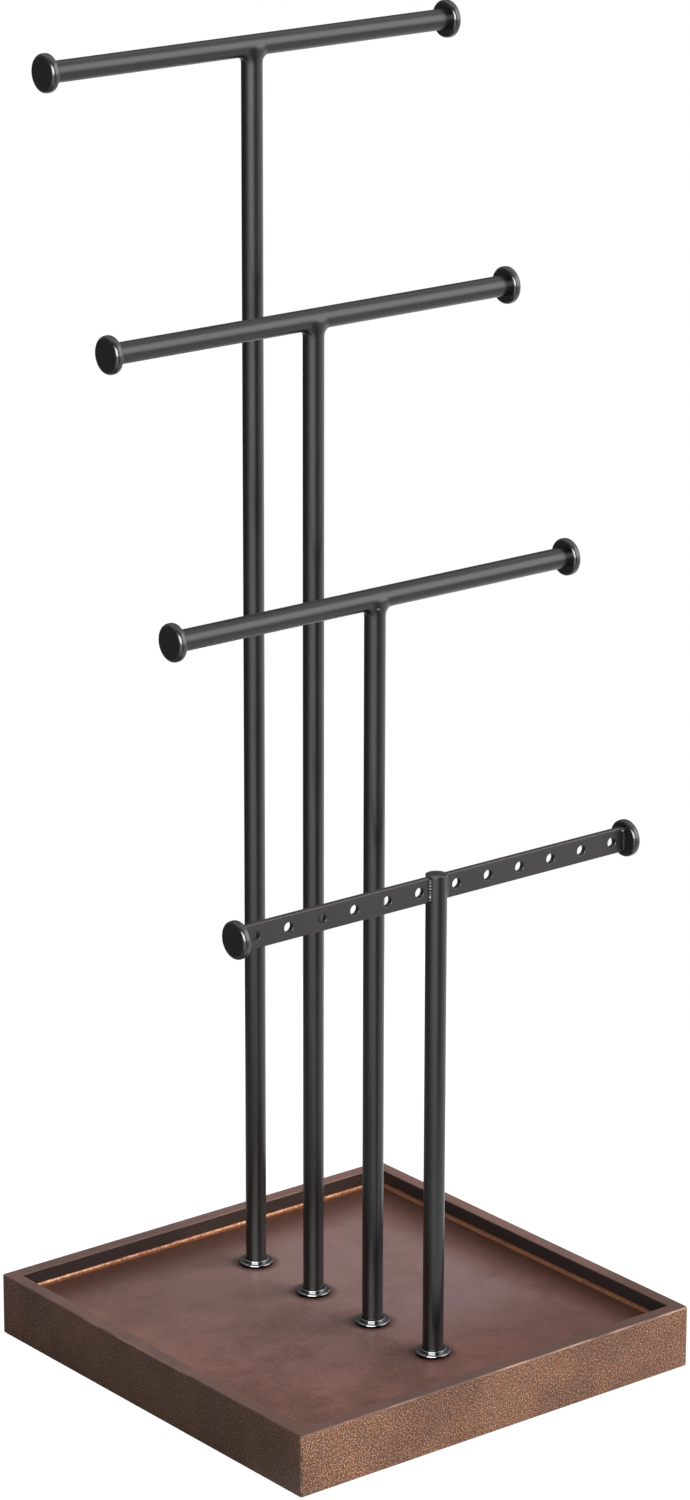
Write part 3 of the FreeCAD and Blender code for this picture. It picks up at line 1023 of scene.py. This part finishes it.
def buildWelds(s):
    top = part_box("tier_4_post")[1].z
    centre = middleOf("tier_4_post")
    low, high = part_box("tier_4_earring_bar")
    thick = (high.y - low.y) / 2
    dome = (rodRadius ** 2 + s["capRise"] ** 2) / (2 * s["capRise"])
    sideIn, sunk = s["capFoot"]
    outline = [(0, top - sunk), (rodRadius - sideIn, top - sunk), (rodRadius, top)]
    for angle in s["lipAngles"]:
        a = math.radians(angle)
        outline.append((rodRadius + s["capLip"] * math.cos(a),
                        top + s["capRim"] * (1 + math.sin(a)) / 2))
    domeCentre = top + s["capRim"] + s["capRise"] - dome
    for k in range(s["domeSteps"] + 1):
        r = rodRadius * (1 - k / s["domeSteps"])
        outline.append((r, domeCentre + math.sqrt(dome ** 2 - r ** 2)))
    bm = bmesh.new()
    cap = bmesh.new()
    lathe(cap, outline, s["steps"])
    addCopies(bm, cap, [Matrix.Translation((centre.x, centre.y, 0))])
    slotEdge = math.sqrt(rodRadius ** 2 - thick ** 2)
    for number, x in enumerate((low.x, -slotEdge, slotEdge, high.x)):
        for y in (-thick, thick):
            bead = bmesh.new()
            size = s["postBead"] if abs(x) < rodRadius else s["discBead"]
            height = high.z - low.z - 2 * s["endIn"]
            lathe(bead, beadOutline(height, *size, s, number), s["beadSteps"])
            place = Matrix.Translation((x, centre.y + y, low.z + s["endIn"]))
            addCopies(bm, bead, [place])
    radius, off, below = s["drop"]
    place = Matrix.Translation((high.x - off, centre.y - thick, high.z - below))
    bmesh.ops.create_icosphere(bm, subdivisions=s["dropSteps"], radius=radius, matrix=place)
    addPiece("tier4Welds", bm, "tier_4", ["tier_4_welds"], metals["discLacquer"])


buildWelds(weldSettings)
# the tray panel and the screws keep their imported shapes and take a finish
for node, material in (("tray_panel", floorPaint), ("post_screws", metals["zincPlate"])):
    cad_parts[node].data.materials.clear()
    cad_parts[node].data.materials.append(material)
print("tier 4 done")


stageSettings = {
    "floorHalf": 0.3,
    "floorColour": colour(0.3, 0.3, 0.3),
    "floorRoughness": 0.9,
    "whiteShare": 0.8,
    "whiteStrength": 1.3,
    "ambient": 0.10,
    "darkSide": (-0.63, 0.777, 0),   # gloss sees a dark floor this way, past these distances
    "darkFrom": -0.03,
    "darkTo": 0.03,
}
aimHeight = 0.18     # lamps and cards face this height on the stand's axis
lampSettings = {
    # azimuth and elevation in degrees, distance, width, height, power
    "keySoftbox": (48, 31, 1.7, 1.5, 1.6, 50),
    "topSoftbox": (60, 87, 1.5, 0.9, 0.9, 12),
    "fillSoftbox": (-50, 5, 1.9, 0.6, 1.2, 1.0),
}
reflectionSettings = {
    # seen only in gloss: azimuth, elevation, distance, width and height in degrees, brightness,
    # share of the card that its soft edge takes
    "keyGlow": (43, 24, 4.4, 62, 66, 3.9, 0.7),
    "leftShade": (-140, -8, 4.4, 84, 96, 0.27, 0.2),
    "discShade": (-141, -18, 4.0, 30, 42, 0.15, 0.4),
    "stripGlow": (-50, -18, 4.2, 58, 60, 2.0, 0.35),
    "frontShade": (4, -18, 4.3, 46, 60, 0.35, 0.35),
    "rightGlow": (80, -20, 4.4, 46, 50, 1.4, 0.5),
    "backShade": (147, 9, 4.4, 66, 76, 0.2, 0.25),
    "lowShade": (168, -13, 4.0, 64, 34, 0.03, 0.12),
    "roomShade": (-38, 44, 5.2, 110, 60, 0.25, 0.15),
    "frontBox": (-49, 21, 3.2, 58, 40, 16, 0.2),
}


def seenDirectly(tree):
    paths = addNode(tree, "ShaderNodeLightPath").outputs
    seen = maths(tree, "ADD", paths["Is Camera Ray"], paths["Is Glossy Ray"])
    return maths(tree, "ADD", seen, paths["Is Transmission Ray"], True)


def mixedShaders(tree, factor, first, second):
    node = addNode(tree, "ShaderNodeMixShader", {0: factor})
    tree.links.new(first.outputs[0], node.inputs[1])
    tree.links.new(second.outputs[0], node.inputs[2])
    return node.outputs[0]


def flatMesh(name, half, material):
    bm = bmesh.new()
    bmesh.ops.create_grid(bm, x_segments=1, y_segments=1, size=half)
    mesh = bpy.data.meshes.new(name)
    bm.to_mesh(mesh)
    bm.free()
    mesh.materials.append(material)
    sheet = bpy.data.objects.new(name, mesh)
    scene.collection.objects.link(sheet)
    return sheet


def buildStage(s):
    material, tree, shader = newMaterial("paleFloor", Roughness=s["floorRoughness"])
    shader.inputs["Base Color"].default_value = s["floorColour"]
    white = addNode(tree, "ShaderNodeEmission", {"Strength": s["whiteStrength"]})
    side = addNode(tree, "ShaderNodeVectorMath", {0: objectCoordinates(tree), 1: s["darkSide"]},
                   operation="DOT_PRODUCT").outputs["Value"]
    glossy = addNode(tree, "ShaderNodeLightPath").outputs["Is Glossy Ray"]
    dark = product(tree, remap(tree, side, s["darkFrom"], s["darkTo"]), glossy)
    share = product(tree, seenDirectly(tree), s["whiteShare"], maths(tree, "SUBTRACT", 1.0, dark))
    tree.links.new(mixedShaders(tree, share, shader, white),
                   tree.nodes["Material Output"].inputs["Surface"])
    flatMesh("studioFloor", s["floorHalf"], material)
    world = bpy.data.worlds.new("studioWorld")
    world.use_nodes = True
    scene.world = world
    tree = world.node_tree
    room = tree.nodes["Background"]
    room.inputs["Color"].default_value = colour(1, 1, 1)
    room.inputs["Strength"].default_value = s["ambient"]
    backdrop = addNode(tree, "ShaderNodeBackground", {"Color": colour(1, 1, 1), "Strength": 1.0})
    tree.links.new(mixedShaders(tree, seenDirectly(tree), room, backdrop),
                   tree.nodes["World Output"].inputs["Surface"])


def facingIn(azimuth, elevation, distance):
    a, e = math.radians(azimuth), math.radians(elevation)
    out = Vector((math.sin(a) * math.cos(e), -math.cos(a) * math.cos(e), math.sin(e)))
    turn = out.to_track_quat("Z", "Y").to_matrix().to_4x4()
    return Matrix.Translation(Vector((0, 0, aimHeight)) + out * distance) @ turn


def addLamp(name, azimuth, elevation, distance, width, height, power):
    data = bpy.data.lights.new(name, "AREA")
    data.shape = "RECTANGLE"
    data.size = width
    data.size_y = height
    data.energy = power
    lamp = bpy.data.objects.new(name, data)
    lamp.matrix_world = facingIn(azimuth, elevation, distance)
    scene.collection.objects.link(lamp)
    lamp.visible_camera = False
    lamp.visible_glossy = False


def addReflection(name, azimuth, elevation, distance, width, height, brightness, soft):
    material, tree, shader = newMaterial(name)
    tree.nodes.remove(shader)
    half = 0.5
    sides = addNode(tree, "ShaderNodeSeparateXYZ", {0: objectCoordinates(tree)}).outputs[:2]
    fades = [remap(tree, maths(tree, "ABSOLUTE", v), half, half * (1 - soft)) for v in sides]
    clear = tree.nodes.new("ShaderNodeBsdfTransparent")
    glow = addNode(tree, "ShaderNodeEmission", {"Strength": brightness})
    tree.links.new(mixedShaders(tree, product(tree, *fades), clear, glow),
                   tree.nodes["Material Output"].inputs["Surface"])
    card = flatMesh(name, half, material)
    wide, high = (2 * distance * math.tan(math.radians(v / 2)) for v in (width, height))
    size = Matrix.Diagonal((wide, high, 1, 1))
    card.matrix_world = facingIn(azimuth, elevation, distance) @ size
    for path in ("camera", "diffuse", "transmission", "volume_scatter", "shadow"):
        setattr(card, "visible_" + path, False)


buildStage(stageSettings)
for name, values in lampSettings.items():
    addLamp(name, *values)
for name, values in reflectionSettings.items():
    addReflection(name, *values)
print("studio done")
